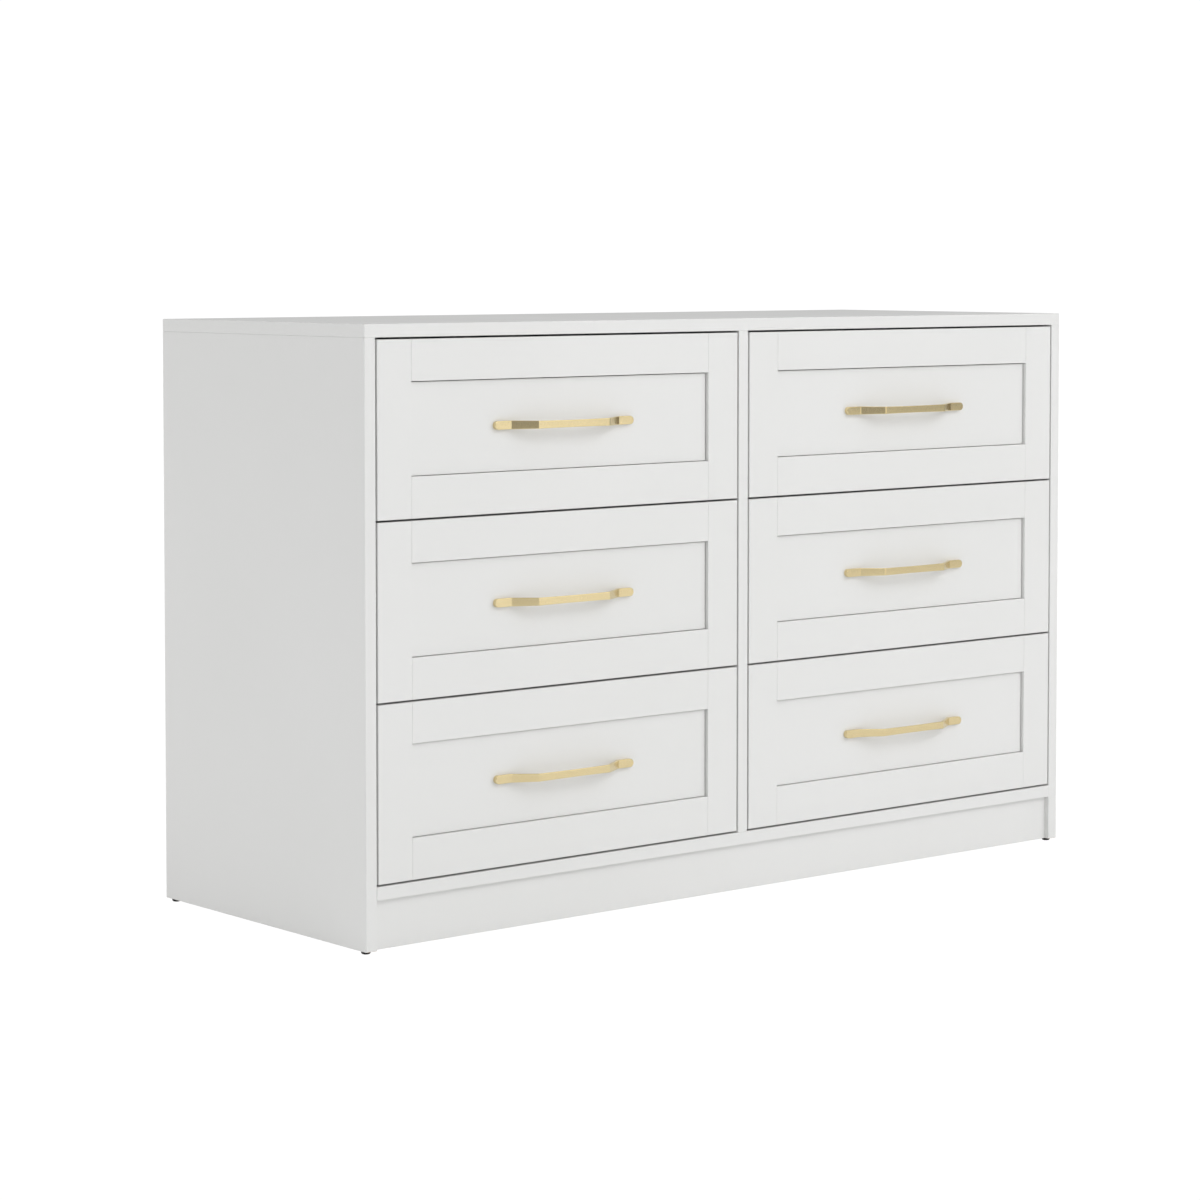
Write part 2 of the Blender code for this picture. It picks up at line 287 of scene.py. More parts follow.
def zinc_steel():
    """Zinc-plated screws, pins and cams, a little cloudy."""
    finish = Finish("zinc_steel", 0.38, 1.0)
    finish.colour(
        finish.noise(0.003, 3.0),
        (0.30, (0.520, 0.530, 0.545)),
        (0.70, (0.640, 0.645, 0.650)),
    )
    finish.roughness(finish.noise(0.002), 0.32, 0.46)
    finish.bump(finish.noise(0.0004), 0.000006)
    return finish.material


def grey_plastic():
    """Moulded light grey plastic of the runner rails, with fine spark-eroded grain."""
    finish = Finish("grey_plastic", 0.5)
    finish.colour(
        finish.noise(0.02, 2.0),
        (0.30, (0.585, 0.590, 0.592)),
        (0.70, (0.625, 0.630, 0.630)),
    )
    finish.roughness(finish.noise(0.006), 0.45, 0.56)
    finish.bump(finish.noise(0.0005), 0.00001)
    return finish.material


def black_plastic():
    """Matte black plastic of the glides."""
    finish = Finish("black_plastic", 0.55)
    finish.colour(
        finish.noise(0.002, 3.0),
        (0.30, (0.018, 0.018, 0.019)),
        (0.70, (0.034, 0.034, 0.035)),
    )
    finish.roughness(finish.noise(0.001), 0.45, 0.65)
    finish.bump(finish.noise(0.0004), 0.00001)
    return finish.material


FOIL = white_foil()
DRAWER_FOIL = drawer_foil()
CHIPBOARD = bare_chipboard()
BROWN_HARDBOARD = brown_hardboard()
WHITE_HARDBOARD = white_hardboard()
GOLD = champagne_metal()
ZINC = zinc_steel()
GREY_PLASTIC = grey_plastic()
BLACK_PLASTIC = black_plastic()


# ---------------------------------------------------------------------------------------------------
# Shapes

FACES = {
    "-x": Vector((-1, 0, 0)),
    "+x": Vector((1, 0, 0)),
    "-y": Vector((0, -1, 0)),
    "+y": Vector((0, 1, 0)),
    "-z": Vector((0, 0, -1)),
    "+z": Vector((0, 0, 1)),
}


def facing_name(normal):
    """The name of the axis direction nearest to a normal."""
    return max(FACES, key=lambda name: FACES[name].dot(normal))


def new_object(name, shape):
    """Turns a bmesh, in world coordinates, into an object with its origin at the world's."""
    mesh = bpy.data.meshes.new(name)
    bmesh.ops.recalc_face_normals(shape, faces=shape.faces)
    shape.to_mesh(mesh)
    shape.free()
    thing = bpy.data.objects.new(name, mesh)
    bpy.context.scene.collection.objects.link(thing)
    return thing


def apply_modifiers(thing):
    """Makes what the object's modifiers do to its mesh permanent."""
    graph = bpy.context.evaluated_depsgraph_get()
    mesh = bpy.data.meshes.new_from_object(thing.evaluated_get(graph))
    old = thing.data
    thing.modifiers.clear()
    thing.data = mesh
    bpy.data.meshes.remove(old)
    mesh.name = thing.name


def remove(thing):
    mesh = thing.data
    bpy.data.objects.remove(thing)
    bpy.data.meshes.remove(mesh)


def carve(thing, cutters):
    """Cuts the cutters out of the object and removes them."""
    for cutter in cutters:
        cut = thing.modifiers.new("cut", "BOOLEAN")
        cut.operation = "DIFFERENCE"
        cut.solver = "EXACT"
        cut.object = cutter
    apply_modifiers(thing)
    for cutter in cutters:
        remove(cutter)


def smooth(thing, angle=38):
    """Shades the object smooth up to an angle, with normals that keep its broad faces flat."""
    thing.data.shade_smooth()
    thing.data.set_sharp_from_angle(angle=math.radians(angle))
    weighted = thing.modifiers.new("flat_faces", "WEIGHTED_NORMAL")
    weighted.keep_sharp = True
    weighted.weight = 50


def piece(thing, body, slot, *nodes):
    """Hands a finished object to the frame: the body it rides on, and hides the nodes it stands for; slot
    is not used.
    """
    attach(thing, body)
    if nodes:
        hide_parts(*nodes)
    return thing


def box_shape(low, high):
    shape = bmesh.new()
    bmesh.ops.create_cube(shape, size=1.0)
    size = high - low
    middle = (low + high) / 2
    for vert in shape.verts:
        vert.co = Vector(vert.co[axis] * size[axis] + middle[axis] for axis in range(3))
    return shape


def box_cutter(low, high):
    return new_object("cutter", box_shape(Vector(low), Vector(high)))


def board(
    name,
    low,
    high,
    materials,
    edge=BANDED_EDGE,
    joints=(),
    bare=(),
    cuts=(),
    soft=None,
    joint_edge=JOINT_EDGE,
):
    """A board between two corners.

    joints names the faces that butt against another board, whose edges stay nearly sharp; bare names
    the sawn faces, and takes the second material, as the walls of the cuts do. soft gives an edge
    radius of its own to all the edges of a face.
    """
    low = Vector(low)
    high = Vector(high)
    soft = soft or {}
    widest = max([edge, *soft.values()])
    shape = box_shape(low, high)
    weight = shape.edges.layers.float.new("bevel_weight_edge")
    shape.normal_update()
    for line in shape.edges:
        sides = [facing_name(face.normal) for face in line.link_faces]
        radius = edge
        for side in sides:
            radius = soft.get(side, radius)
        if any(side in joints for side in sides):
            radius = joint_edge
        line[weight] = radius / widest
    thing = new_object(name, shape)
    rounding = thing.modifiers.new("edges", "BEVEL")
    rounding.limit_method = "WEIGHT"
    rounding.width = widest
    rounding.segments = EDGE_STEPS
    carve(thing, list(cuts))
    for material in materials:
        thing.data.materials.append(material)
    if len(materials) > 1:
        for face in thing.data.polygons:
            inside = min(
                min(face.center[axis] - low[axis], high[axis] - face.center[axis])
                for axis in range(3)
            )
            sawn = inside > widest / 2 or facing_name(face.normal) in bare
            face.material_index = 1 if sawn else 0
    smooth(thing)
    return thing


def lathe(name, profile, steps=24):
    """A turned piece around +Z from (radius, height) points, the first and last of them on the axis."""
    shape = bmesh.new()
    verts = [shape.verts.new((radius, 0, height)) for radius, height in profile]
    for first, second in zip(verts, verts[1:]):
        shape.edges.new((first, second))
    bmesh.ops.spin(
        shape,
        geom=shape.verts[:] + shape.edges[:],
        axis=(0, 0, 1),
        cent=(0, 0, 0),
        steps=steps,
        angle=2 * math.pi,
    )
    bmesh.ops.remove_doubles(shape, verts=shape.verts, dist=MESH_TOLERANCE)
    return new_object(name, shape)


def cross_cutters(reach, width, bottom, top):
    """Two crossed bars that cut a driver's recess."""
    return [
        box_cutter((-reach, -width / 2, bottom), (reach, width / 2, top)),
        box_cutter((-width / 2, -reach, bottom), (width / 2, reach, top)),
    ]


def facing(place, direction, spin=0.0):
    """Sets a fitting on a surface, its own +Z along the normal; spin, in radians, turns its cross."""
    turn = FACES[direction].to_track_quat("Z", "Y").to_matrix().to_4x4()
    return Matrix.Translation(place) @ turn @ Matrix.Rotation(spin, 4, "Z")


def copies(name, pattern, places, material):
    """One object that holds a copy of the pattern's mesh at each place."""
    shape = bmesh.new()
    for place in places:
        before = len(shape.verts)
        shape.from_mesh(pattern.data)
        shape.verts.ensure_lookup_table()
        bmesh.ops.transform(shape, matrix=place, verts=shape.verts[before:])
    thing = new_object(name, shape)
    thing.data.materials.append(material)
    smooth(thing)
    return thing


# ---------------------------------------------------------------------------------------------------
# Fittings, as patterns that are copied and then removed


def cam_pattern():
    """The face of a cam lock: a low disc with a bevelled rim and a driver's cross."""
    cam = lathe("cam", [(0, 0.0003), (0.0068, 0.0003), (0.0073, 0.0001), (0.0075, -0.0008), (0, -0.0008)])
    carve(cam, cross_cutters(0.0032, 0.0012, -0.0004, 0.001))
    return cam


def screw_pattern():
    """A countersunk head that sits just under the surface, with its cross."""
    screw = lathe("screw", [(0, 0), (0.0034, 0), (0.0037, -0.0002), (0.0018, -0.0022), (0, -0.0022)])
    carve(screw, cross_cutters(0.0018, 0.0007, -0.001, 0.001))
    return screw


def handle_screw_pattern():
    """A pan head on a washer."""
    profile = [
        (0, 0.0030),
        (0.0014, 0.0029),
        (0.0028, 0.0024),
        (0.0036, 0.0015),
        (0.0037, 0.0008),
        (0.0050, 0.0008),
        (0.0052, 0.0006),
        (0.0052, 0),
        (0, 0),
    ]
    screw = lathe("handle_screw", profile)
    carve(screw, cross_cutters(0.0019, 0.0008, 0.0016, 0.004))
    return screw


def nail_pattern():
    """The flat head of a panel pin."""
    return lathe("nail", [(0, 0.0005), (0.0012, 0.00045), (0.0016, 0.0002), (0.0016, 0), (0, 0)], 16)


CAM = cam_pattern()
SCREW = screw_pattern()
HANDLE_SCREW = handle_screw_pattern()
NAIL = nail_pattern()


def spaced(start, end, count):
    """Places spread evenly from start to end, both included."""
    return [start + (end - start) * index / (count - 1) for index in range(count)]


# ---------------------------------------------------------------------------------------------------
# Carcass

top_low, top_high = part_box("top_panel")
left_low, left_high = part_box("left_side_panel")
right_low, right_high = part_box("right_side_panel")
divider_low, divider_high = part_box("centre_divider")
bottom_low, bottom_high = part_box("bottom_panel")
plinth_low, plinth_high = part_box("front_plinth")
back_boxes = {side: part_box(f"back_panel_{side}") for side in COLUMNS}
back_front_y = back_boxes["left"][0].y - GROOVE_AIR
back_rear_y = back_boxes["left"][1].y + GROOVE_AIR
back_low_x = back_boxes["left"][0].x - GROOVE_AIR
back_high_x = back_boxes["right"][1].x + GROOVE_AIR
BOARD_SKIN = (FOIL, CHIPBOARD)

side_top = top_low.z - JOINT_AIR


def back_groove(low_x, high_x, low_z, high_z):
    """The groove that holds the edge of a back panel."""
    return box_cutter((low_x, back_front_y, low_z), (high_x, back_rear_y, high_z))


def make_top():
    groove = back_groove(
        back_low_x, back_high_x, top_low.z - BANDED_EDGE, back_boxes["left"][1].z + GROOVE_AIR
    )
    top = board(
        "dresser_top",
        top_low,
        top_high,
        BOARD_SKIN,
        joints=("-z",),
        cuts=[groove],
    )
    piece(top, "carcass", "white_board", "top_panel")


def make_sides():
    for side, low, high in (("left", left_low, left_high), ("right", right_low, right_high)):
        start_x = back_low_x if side == "left" else low.x - BANDED_EDGE
        end_x = high.x + BANDED_EDGE if side == "left" else back_high_x
        groove = back_groove(start_x, end_x, low.z - BANDED_EDGE, high.z + BANDED_EDGE)
        panel = board(
            f"dresser_{side}_side",
            low,
            (high.x, high.y, side_top),
            BOARD_SKIN,
            joints=("+z",),
            bare=("-z", "+y"),
            cuts=[groove],
        )
        piece(panel, "carcass", "white_board", f"{side}_side_panel")


def make_divider():
    cuts = [
        back_groove(
            divider_low.x - BANDED_EDGE,
            back_boxes["left"][1].x + GROOVE_AIR,
            divider_low.z - BANDED_EDGE,
            divider_high.z + BANDED_EDGE,
        ),
        back_groove(
            back_boxes["right"][0].x - GROOVE_AIR,
            divider_high.x + BANDED_EDGE,
            divider_low.z - BANDED_EDGE,
            divider_high.z + BANDED_EDGE,
        ),
    ]
    divider = board(
        "dresser_divider",
        (divider_low.x, divider_low.y, bottom_high.z + JOINT_AIR),
        (divider_high.x, divider_high.y, side_top),
        BOARD_SKIN,
        edge=FRONT_EDGE,
        joints=("-z", "+z"),
        bare=("+y",),
        cuts=cuts,
    )
    piece(divider, "carcass", "white_board", "centre_divider")


def make_bottom_and_plinth():
    low_x = left_high.x + JOINT_AIR
    high_x = right_low.x - JOINT_AIR
    bottom = board(
        "dresser_bottom",
        (low_x, bottom_low.y, bottom_low.z),
        (high_x, bottom_high.y, bottom_high.z),
        BOARD_SKIN,
        edge=FRONT_EDGE,
        joints=("-x", "+x"),
        bare=("+y",),
        soft={"-z": INNER_EDGE},
    )
    piece(bottom, "carcass", "white_board", "bottom_panel")
    plinth = board(
        "dresser_plinth",
        (low_x, plinth_low.y, plinth_low.z),
        (high_x, plinth_high.y, bottom_low.z - JOINT_AIR),
        BOARD_SKIN,
        edge=FRONT_EDGE,
        joints=("-x", "+x", "+z"),
        bare=("-z",),
    )
    piece(plinth, "carcass", "white_board", "front_plinth")


def make_backs():
    for side in COLUMNS:
        low, high = back_boxes[side]
        name = f"dresser_back_{side}"
        panel = board(name, low, high, (WHITE_HARDBOARD, BROWN_HARDBOARD), INNER_EDGE)
        for face in panel.data.polygons:
            face.material_index = 0 if facing_name(face.normal) == "-y" else 1
        piece(panel, "carcass", "hardboard", f"back_panel_{side}")
        pin_z = (bottom_low.z + bottom_high.z) / 2
        places = [
            facing((x, high.y, pin_z), "+y")
            for x in spaced(low.x + BACK_PIN_INSET, high.x - BACK_PIN_INSET, BACK_PINS)
        ]
        piece(copies(f"{name}_pins", NAIL, places, ZINC), "carcass", "hardboard")


def make_feet():
    """Turned glides that reach up to the underside of the side panels."""
    for name in ("front_left", "front_right", "back_left", "back_right"):
        low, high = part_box(f"foot_{name}")
        radius = (high.x - low.x) / 2
        height = left_low.z - JOINT_AIR
        foot = lathe(
            "foot",
            [
                (0, 0),
                (radius * 0.62, 0),
                (radius * 0.86, height * 0.14),
                (radius * 0.97, height * 0.42),
                (radius, height * 0.70),
                (radius, height * 0.94),
                (radius * 0.97, height),
                (0, height),
            ],
            32,
        )
        place = Matrix.Translation(((low.x + high.x) / 2, (low.y + high.y) / 2, low.z))
        glide = copies(f"dresser_glide_{name}", foot, [place], BLACK_PLASTIC)
        remove(foot)
        piece(glide, "carcass", "foot_plastic", f"foot_{name}")


def make_cams():
    """Cam locks on the inner faces, near the top, and under the bottom panel's ends."""
    places = []
    z = top_low.z - CAM_FROM_JOINT
    for y in (left_low.y + CAM_INSET, back_front_y - CAM_INSET):
        places.append(facing((left_high.x, y, z), "+x", 0.4))
        places.append(facing((right_low.x, y, z), "-x", 0.9))
        places.append(facing((divider_low.x, y, z), "-x", 0.2))
        for x in (left_high.x + CAM_FROM_JOINT, right_low.x - CAM_FROM_JOINT):
            places.append(facing((x, y, bottom_low.z), "-z", 0.6))
    piece(copies("dresser_cams", CAM, places, ZINC), "carcass", "handle_metal")


make_top()
make_sides()
make_divider()
make_bottom_and_plinth()
make_backs()
make_feet()
make_cams()


# ---------------------------------------------------------------------------------------------------
# Runner rails


def rail_outline(low, high):
    """(y, z) points of a rail seen from the side: square at the rear and a half circle at the front."""
    radius = (high.z - low.z) / 2
    middle_z = (low.z + high.z) / 2
    points = [(high.y, low.z), (high.y, high.z)]
    for step in range(RAIL_NOSE_STEPS + 1):
        angle = math.pi * (0.5 + step / RAIL_NOSE_STEPS)
        points.append((low.y + radius + radius * math.cos(angle), middle_z + radius * math.sin(angle)))
    return points


def extruded(name, outline, low_x, high_x):
    """An outline of (y, z) points, pulled along X."""
    shape = bmesh.new()
    face = shape.faces.new([shape.verts.new((low_x, y, z)) for y, z in outline])
    pulled = bmesh.ops.extrude_face_region(shape, geom=[face])["geom"]
    moved = [item for item in pulled if isinstance(item, bmesh.types.BMVert)]
    bmesh.ops.translate(shape, vec=(high_x - low_x, 0, 0), verts=moved)
    return new_object(name, shape)


def make_rail(prefix, side):
    """A moulded rail: soft rims, a long hollow along its face, and three countersunk screws."""
    node = f"{prefix}_{side}_runner"
    low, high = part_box(node)
    outward = "+x" if side == "left" else "-x"
    face_x = high.x if side == "left" else low.x
    rail = extruded(f"{node}_rail", rail_outline(low, high), low.x, high.x)
    rounding = rail.modifiers.new("rims", "BEVEL")
    rounding.width = RAIL_RIM
    rounding.segments = 2
    rounding.angle_limit = math.radians(60)
    screw_ys = spaced(low.y + RAIL_SCREW_FROM_FRONT, high.y - RAIL_SCREW_FROM_REAR, RAIL_SCREWS)
    cutters = []
    for first, second in zip(screw_ys, screw_ys[1:]):
        cutters.append(
            box_cutter(
                (
                    face_x - RAIL_HOLLOW_DEPTH,
                    first + RAIL_SCREW_CLEARANCE,
                    low.z + RAIL_HOLLOW_MARGIN,
                ),
                (
                    face_x + RAIL_HOLLOW_DEPTH,
                    second - RAIL_SCREW_CLEARANCE,
                    high.z - RAIL_HOLLOW_MARGIN,
                ),
            )
        )
    carve(rail, cutters)
    rail.data.materials.append(GREY_PLASTIC)
    smooth(rail)
    piece(rail, "carcass", "runner_plastic", node)
    middle_z = (low.z + high.z) / 2
    places = [
        facing((face_x, y, middle_z), outward, index * 0.8) for index, y in enumerate(screw_ys)
    ]
    piece(copies(f"{node}_screws", SCREW, places, ZINC), "carcass", "handle_metal")


for prefix in DRAWERS:
    for side in COLUMNS:
        make_rail(prefix, side)


# ---------------------------------------------------------------------------------------------------
# Handles


def strap_runs(half_length, rise):
    """The left half of the strap's front line, as (length, curvature) runs from the tip."""
    slope = math.atan2(rise, STRAP_LEG_RUN)
    leg = math.hypot(rise, STRAP_LEG_RUN)
    foot_trim = FOOT_BEND * math.tan(slope / 2)
    bar_trim = BAR_BEND * math.tan(slope / 2)
    half_bar = half_length - STRAP_FOOT - STRAP_LEG_RUN
    return (
        (STRAP_FOOT - foot_trim, 0.0),
        (FOOT_BEND * slope, 1 / FOOT_BEND),
        (leg - foot_trim - bar_trim, 0.0),
        (BAR_BEND * slope, -1 / BAR_BEND),
        (half_bar - bar_trim, 0.0),
    )


def along_runs(runs, distance):
    """(x from the tip, height over the foot, slope) at a distance along the runs."""
    x = 0.0
    height = 0.0
    slope = 0.0
    for length, curvature in runs:
        step = min(distance, length)
        turned = slope + curvature * step
        if curvature:
            x += (math.sin(turned) - math.sin(slope)) / curvature
            height += (math.cos(slope) - math.cos(turned)) / curvature
        else:
            x += step * math.cos(slope)
            height += step * math.sin(slope)
        slope = turned
        distance -= step
        if distance <= 0:
            break
    return x, height, slope


def strap_width(from_middle, half_length, end_width):
    """The strap's width: widest on the feet and waisted at the middle of the bar."""
    reach = min(1.0, from_middle / (half_length - STRAP_FOOT))
    return STRAP_MIDDLE_WIDTH + (end_width - STRAP_MIDDLE_WIDTH) * reach * reach


def strap_depth(runs, distance):
    """The strap's thickness at a distance from its tip: full on the foot, thinner from its bend on."""
    start = runs[0][0]
    share = min(1.0, max(0.0, (distance - start) / (STRAP_FOOT_THICK - STRAP_THICK)))
    return STRAP_FOOT_THICK + (STRAP_THICK - STRAP_FOOT_THICK) * share


def flat_strap(runs, half_length, end_width):
    """The strap before bending, tip to tip along X from 0, across along Y, and its thickness along Z."""
    total = 2 * sum(length for length, _ in runs)
    tip_radius = end_width / 2
    edge = []
    for step in range(1, TIP_STEPS + 1):
        angle = math.pi / 2 * step / TIP_STEPS
        edge.append((tip_radius * (1 - math.cos(angle)), tip_radius * math.sin(angle)))
    waist_start = runs[0][0]
    for step in range(WAIST_STEPS + 1):
        distance = waist_start + (total / 2 - waist_start) * step / WAIST_STEPS
        from_middle = half_length - along_runs(runs, distance)[0]
        edge.append((distance, strap_width(from_middle, half_length, end_width) / 2))
    upper = [(0.0, 0.0)] + edge + [(total - x, y) for x, y in reversed(edge[:-1])] + [(total, 0.0)]
    lower = [(x, -y) for x, y in reversed(upper[1:-1])]
    shape = bmesh.new()
    face = shape.faces.new([shape.verts.new((x, y, 0)) for x, y in upper + lower])
    pulled = bmesh.ops.extrude_face_region(shape, geom=[face])["geom"]
    moved = [item for item in pulled if isinstance(item, bmesh.types.BMVert)]
    bmesh.ops.translate(shape, vec=(0, 0, STRAP_THICK), verts=moved)
    bmesh.ops.recalc_face_normals(shape, faces=shape.faces)
    for level, radius, steps in ((STRAP_THICK, STRAP_FRONT_RIM, 3), (0.0, STRAP_BACK_RIM, 2)):
        rim = [
            line
            for line in shape.edges
            if all(abs(vert.co.z - level) < MESH_TOLERANCE for vert in line.verts)
        ]
        bmesh.ops.bevel(
            shape,
            geom=rim,
            offset=radius,
            segments=steps,
            profile=0.5,
            affect="EDGES",
            clamp_overlap=True,
        )
    cut_places = []
    start = 0.0
    for length, curvature in runs:
        stretches = BEND_STEPS if curvature else max(1, round(length / STRAIGHT_STEP))
        cut_places += [start + length * index / stretches for index in range(1, stretches + 1)]
        start += length
    cut_places += [total - place for place in cut_places[:-1]]
    for place in cut_places:
        bmesh.ops.bisect_plane(
            shape,
            geom=shape.verts[:] + shape.edges[:] + shape.faces[:],
            dist=1e-7,
            plane_co=(place, 0, 0),
            plane_no=(1, 0, 0),
        )
    return shape, total


def make_handle(prefix):
    """One strap, rimmed while flat and then bent to its line, with its two screws behind the front."""
    low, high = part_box(f"{prefix}_handle")
    front_low, front_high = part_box(f"{prefix}_front")
    panel_y = front_low.y + PANEL_RECESS
    half_length = (high.x - low.x) / 2
    centre_x = (low.x + high.x) / 2
    centre_z = (low.z + high.z) / 2
    rise = panel_y - low.y - STRAP_FOOT_THICK
    runs = strap_runs(half_length, rise)
    shape, total = flat_strap(runs, half_length, high.z - low.z)
    for vert in shape.verts:
        mirrored = vert.co.x > total / 2
        distance = total - vert.co.x if mirrored else vert.co.x
        x, height, slope = along_runs(runs, distance)
        depth = (1 - vert.co.z / STRAP_THICK) * strap_depth(runs, distance)
        x = x + depth * math.sin(slope) - half_length
        height = STRAP_FOOT_THICK + height - depth * math.cos(slope)
        vert.co = (centre_x + (-x if mirrored else x), panel_y - height, centre_z + vert.co.y)
    handle = new_object(f"{prefix}_strap", shape)
    handle.data.materials.append(GOLD)
    smooth(handle, 50)
    piece(handle, prefix, "handle_metal", f"{prefix}_handle")
    places = [
        facing((centre_x + side * HANDLE_HOLE_OFFSET, front_high.y, centre_z), "+y", 0.5 + side)
        for side in (-1, 1)
    ]
    piece(copies(f"{prefix}_strap_screws", HANDLE_SCREW, places, ZINC), prefix, "handle_metal")


# ---------------------------------------------------------------------------------------------------
# Drawer fronts: two stiles over the full height, two rails between them, and a sunken panel


def make_front(prefix):
    """The five boards of a front; a groove behind its lower edge takes the drawer's bottom."""
    low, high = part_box(f"{prefix}_front")
    base_low, base_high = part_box(f"{prefix}_bottom")
    left_x = low.x + FRAME_WIDTH
    right_x = high.x - FRAME_WIDTH
    low_z = low.z + FRAME_WIDTH
    high_z = high.z - FRAME_WIDTH

    def bottom_groove():
        return box_cutter(
            (base_low.x - GROOVE_AIR, base_low.y - GROOVE_AIR, base_low.z - GROOVE_AIR),
            (base_high.x + GROOVE_AIR, high.y + BANDED_EDGE, base_high.z + GROOVE_AIR),
        )

    parts = {
        "left_stile": (
            (low.x, low.y, low.z),
            (left_x - SEAM_AIR, high.y, high.z),
            ("+x",),
            [bottom_groove()],
        ),
        "right_stile": (
            (right_x + SEAM_AIR, low.y, low.z),
            (high.x, high.y, high.z),
            ("-x",),
            [bottom_groove()],
        ),
        "top_rail": (
            (left_x + SEAM_AIR, low.y, high_z),
            (right_x - SEAM_AIR, high.y, high.z),
            ("-x", "+x"),
            [],
        ),
        "bottom_rail": (
            (left_x + SEAM_AIR, low.y, low.z),
            (right_x - SEAM_AIR, high.y, low_z),
            ("-x", "+x"),
            [bottom_groove()],
        ),
        "panel": (
            (left_x + PANEL_AIR_BESIDE, low.y + PANEL_RECESS, low_z + PANEL_AIR_BELOW),
            (right_x - PANEL_AIR_BESIDE, high.y, high_z - PANEL_AIR_ABOVE),
            ("-x", "+x", "-z", "+z"),
            [],
        ),
    }
    soft_faces = {"top_rail": {"-z": INNER_EDGE}, "bottom_rail": {"+z": INNER_EDGE}}
    for name, (part_low, part_high, joints, cuts) in parts.items():
        part = board(
            f"{prefix}_{name}",
            part_low,
            part_high,
            BOARD_SKIN,
            edge=FRONT_EDGE,
            joints=joints,
            cuts=cuts,
            soft=soft_faces.get(name),
            joint_edge=SEAM_EDGE,
        )
        piece(part, prefix, "white_board", f"{prefix}_front")


# ---------------------------------------------------------------------------------------------------
# Drawer boxes


def make_box(prefix):
    """A drawer's two walls with their grooves, its rear wall and base, and the fittings between them."""
    front_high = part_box(f"{prefix}_front")[1]
    bottom_low, bottom_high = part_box(f"{prefix}_bottom")
    back_low, back_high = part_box(f"{prefix}_back")
    skin = (DRAWER_FOIL, CHIPBOARD)
    back_middle_y = (back_low.y + back_high.y) / 2
    cam_places = []
    screw_places = []
    for side in COLUMNS:
        low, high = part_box(f"{prefix}_{side}_side")
        rail_low, rail_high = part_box(f"{prefix}_{side}_runner")
        inner_x, outer_x = (high.x, low.x) if side == "left" else (low.x, high.x)
        inward, outward = ("+x", "-x") if side == "left" else ("-x", "+x")
        groove = box_cutter(
            (bottom_low.x - GROOVE_AIR, low.y - INNER_EDGE, bottom_low.z - GROOVE_AIR),
            (bottom_high.x + GROOVE_AIR, high.y + INNER_EDGE, bottom_high.z + GROOVE_AIR),
        )
        slot_low = Vector((0, rail_low.y - RAIL_NOSE_AIR, rail_low.z - RAIL_UNDER_AIR))
        slot_high = Vector((0, high.y + INNER_EDGE, rail_high.z + RAIL_OVER_AIR))
        rail_face = rail_high.x + RAIL_SIDE_AIR if side == "left" else rail_low.x - RAIL_SIDE_AIR
        open_x = outer_x - INNER_EDGE if side == "left" else outer_x + INNER_EDGE
        slot = extruded(
            "cutter",
            rail_outline(slot_low, slot_high),
            min(rail_face, open_x),
            max(rail_face, open_x),
        )
        panel = board(
            f"{prefix}_{side}_wall",
            (low.x, front_high.y + JOINT_AIR, low.z),
            high,
            skin,
            edge=INNER_EDGE,
            joints=("-y",),
            bare=("-z", "+y"),
            cuts=[groove, slot],
        )
        piece(panel, prefix, "drawer_board", f"{prefix}_{side}_side")
        for index, z in enumerate((low.z + DRAWER_FITTING_RISE, high.z - DRAWER_FITTING_RISE)):
            cam_places.append(facing((inner_x, low.y + CAM_FROM_JOINT, z), inward, 0.3 + index))
            screw_places.append(facing((outer_x, back_middle_y, z), outward, 0.7 * index))
    wall_inner_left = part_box(f"{prefix}_left_side")[1].x + JOINT_AIR
    wall_inner_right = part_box(f"{prefix}_right_side")[0].x - JOINT_AIR
    back = board(
        f"{prefix}_rear",
        (wall_inner_left, back_low.y, back_low.z),
        (wall_inner_right, back_high.y, back_high.z),
        skin,
        edge=INNER_EDGE,
        joints=("-x", "+x"),
        bare=("-z",),
    )
    piece(back, prefix, "drawer_board", f"{prefix}_back")
    bottom = board(
        f"{prefix}_base",
        bottom_low,
        bottom_high,
        (WHITE_HARDBOARD, BROWN_HARDBOARD),
        edge=INNER_EDGE,
    )
    for face in bottom.data.polygons:
        face.material_index = 0 if facing_name(face.normal) == "+z" else 1
    piece(bottom, prefix, "hardboard", f"{prefix}_bottom")
    pin_places = [
        facing((x, back_middle_y, bottom_low.z), "-z")
        for x in spaced(bottom_low.x + BASE_PIN_INSET, bottom_high.x - BASE_PIN_INSET, BASE_PINS)
    ]
    piece(copies(f"{prefix}_cams", CAM, cam_places, ZINC), prefix, "handle_metal")
    piece(copies(f"{prefix}_screws", SCREW, screw_places, ZINC), prefix, "handle_metal")
    piece(copies(f"{prefix}_pins", NAIL, pin_places, ZINC), prefix, "handle_metal")


for prefix in DRAWERS:
    make_front(prefix)
    make_box(prefix)
    make_handle(prefix)

for pattern in (CAM, SCREW, HANDLE_SCREW, NAIL):
    remove(pattern)


# ---------------------------------------------------------------------------------------------------
# Floor, light and camera


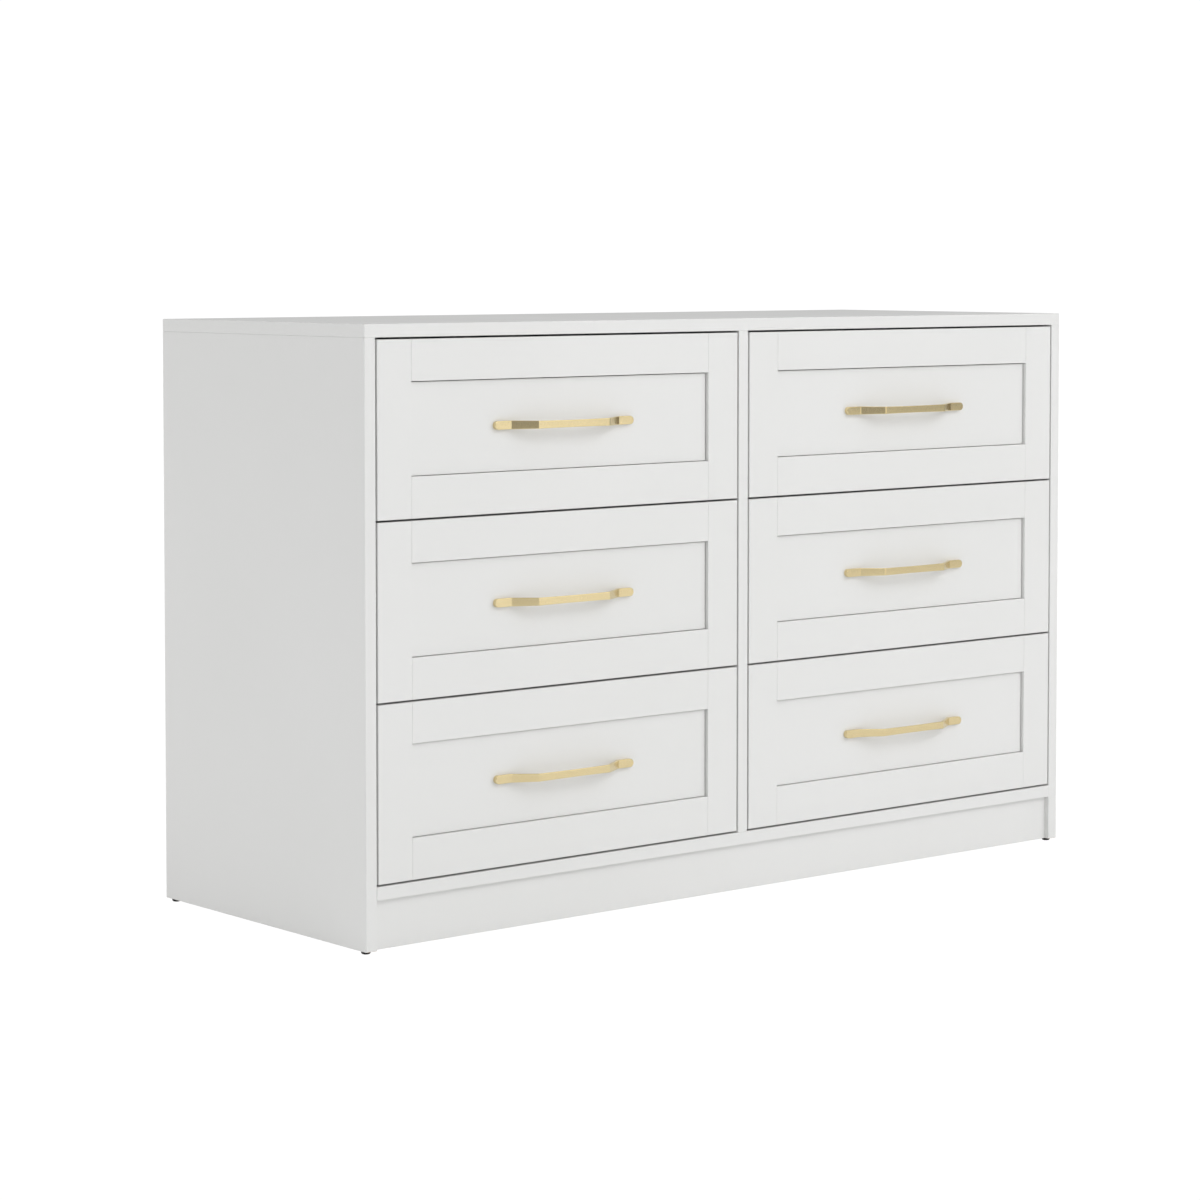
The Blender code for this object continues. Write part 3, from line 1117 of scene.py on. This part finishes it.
def make_floor():
    """A plain white floor that lights the dresser from below, and that the camera sees as backdrop."""
    shape = bmesh.new()
    bmesh.ops.create_grid(shape, x_segments=2, y_segments=2, size=FLOOR_REACH)
    floor = new_object("studio_floor", shape)
    if floor.data.polygons[0].normal.z < 0:
        floor.data.flip_normals()
    material = bpy.data.materials.new("studio_floor")
    material.use_nodes = True
    nodes = material.node_tree.nodes
    links = material.node_tree.links
    nodes.clear()
    output = nodes.new("ShaderNodeOutputMaterial")
    mix = nodes.new("ShaderNodeMixShader")
    path = nodes.new("ShaderNodeLightPath")
    matte = nodes.new("ShaderNodeBsdfDiffuse")
    matte.inputs["Color"].default_value = FLOOR_COLOUR
    glow = nodes.new("ShaderNodeEmission")
    glow.inputs["Strength"].default_value = BACKDROP_STRENGTH
    links.new(path.outputs["Is Camera Ray"], mix.inputs[0])
    links.new(matte.outputs["BSDF"], mix.inputs[1])
    links.new(glow.outputs["Emission"], mix.inputs[2])
    links.new(mix.outputs["Shader"], output.inputs["Surface"])
    floor.data.materials.append(material)


def make_world():
    """Light from all round, weaker near the horizon, and seen by the camera as plain white."""
    world = bpy.data.worlds.new("studio")
    world.use_nodes = True
    nodes = world.node_tree.nodes
    links = world.node_tree.links
    nodes.clear()
    output = nodes.new("ShaderNodeOutputWorld")
    mix = nodes.new("ShaderNodeMixShader")
    path = nodes.new("ShaderNodeLightPath")
    ambient = nodes.new("ShaderNodeBackground")
    ambient.inputs["Strength"].default_value = WORLD_STRENGTH
    direction = nodes.new("ShaderNodeTexCoord")
    parts = nodes.new("ShaderNodeSeparateXYZ")
    lift = nodes.new("ShaderNodeMapRange")
    lift.interpolation_type = "SMOOTHSTEP"
    lift.inputs["From Min"].default_value = 0.0
    lift.inputs["From Max"].default_value = HORIZON_BAND
    lift.inputs["To Min"].default_value = HORIZON_LEVEL
    lift.inputs["To Max"].default_value = 1.0
    links.new(direction.outputs["Generated"], parts.inputs["Vector"])
    links.new(parts.outputs["Z"], lift.inputs["Value"])
    links.new(lift.outputs["Result"], ambient.inputs["Color"])
    backdrop = nodes.new("ShaderNodeBackground")
    backdrop.inputs["Color"].default_value = (1.0, 1.0, 1.0, 1.0)
    backdrop.inputs["Strength"].default_value = BACKDROP_STRENGTH
    links.new(path.outputs["Is Camera Ray"], mix.inputs[0])
    links.new(ambient.outputs["Background"], mix.inputs[1])
    links.new(backdrop.outputs["Background"], mix.inputs[2])
    links.new(mix.outputs["Shader"], output.inputs["Surface"])
    bpy.context.scene.world = world


def softbox(name, azimuth, elevation, width, height, power):
    """A rectangular light turned towards the dresser; azimuth 0 is straight in front, 90 on its right."""
    azimuth = math.radians(azimuth)
    elevation = math.radians(elevation)
    away = Vector((
        math.sin(azimuth) * math.cos(elevation),
        -math.cos(azimuth) * math.cos(elevation),
        math.sin(elevation),
    ))
    light = bpy.data.lights.new(name, "AREA")
    light.shape = "RECTANGLE"
    light.size = width
    light.size_y = height
    light.energy = power
    lamp = bpy.data.objects.new(name, light)
    lamp.location = LIGHT_AIM + away * LIGHT_DISTANCE
    lamp.rotation_euler = (-away).to_track_quat("-Z", "Y").to_euler()
    bpy.context.scene.collection.objects.link(lamp)


def make_lights():
    """A broad key from the front to the right, low boxes in front for the metal, and a fill behind left."""
    softbox("key_front", 0, 32, 2.0, 2.4, 28.5)
    softbox("key_centre", 3, 36, 0.8, 1.6, 11.0)
    softbox("key_right", 40, 32, 2.0, 2.4, 23.5)
    softbox("high_front", 10, 58, 2.5, 1.2, 4.0)
    softbox("ceiling", 0, 85, 2.5, 2.5, 4.0)
    softbox("middle_front", 20, 14, 2.4, 0.9, 7.5)
    softbox("low_front", 10, 2, 3.0, 0.9, 8.0)
    softbox("low_right", 34, 2, 0.8, 0.9, 1.7)
    softbox("low_far_right", 44, 3, 0.8, 0.9, 0.5)
    softbox("left_fill", -110, 14, 1.6, 1.6, 37.0)


def make_camera():
    """Low and to the front left, looking slightly down, with the horizon just over the top."""
    data = bpy.data.cameras.new("camera")
    camera = bpy.data.objects.new("camera", data)
    camera.location = left_low + Vector(CAMERA_FROM_CORNER)
    yaw = math.radians(CAMERA_YAW)
    pitch = math.radians(CAMERA_PITCH)
    forward = Vector((
        math.sin(yaw) * math.cos(pitch),
        math.cos(yaw) * math.cos(pitch),
        -math.sin(pitch),
    ))
    camera.rotation_mode = "QUATERNION"
    camera.rotation_quaternion = forward.to_track_quat("-Z", "Y")
    data.sensor_width = CAMERA_SENSOR
    data.lens = CAMERA_LENS
    data.shift_y = CAMERA_SHIFT
    bpy.context.scene.collection.objects.link(camera)
    bpy.context.scene.camera = camera


make_floor()
make_world()
make_lights()
make_camera()
bpy.context.scene.view_settings.view_transform = "Standard"
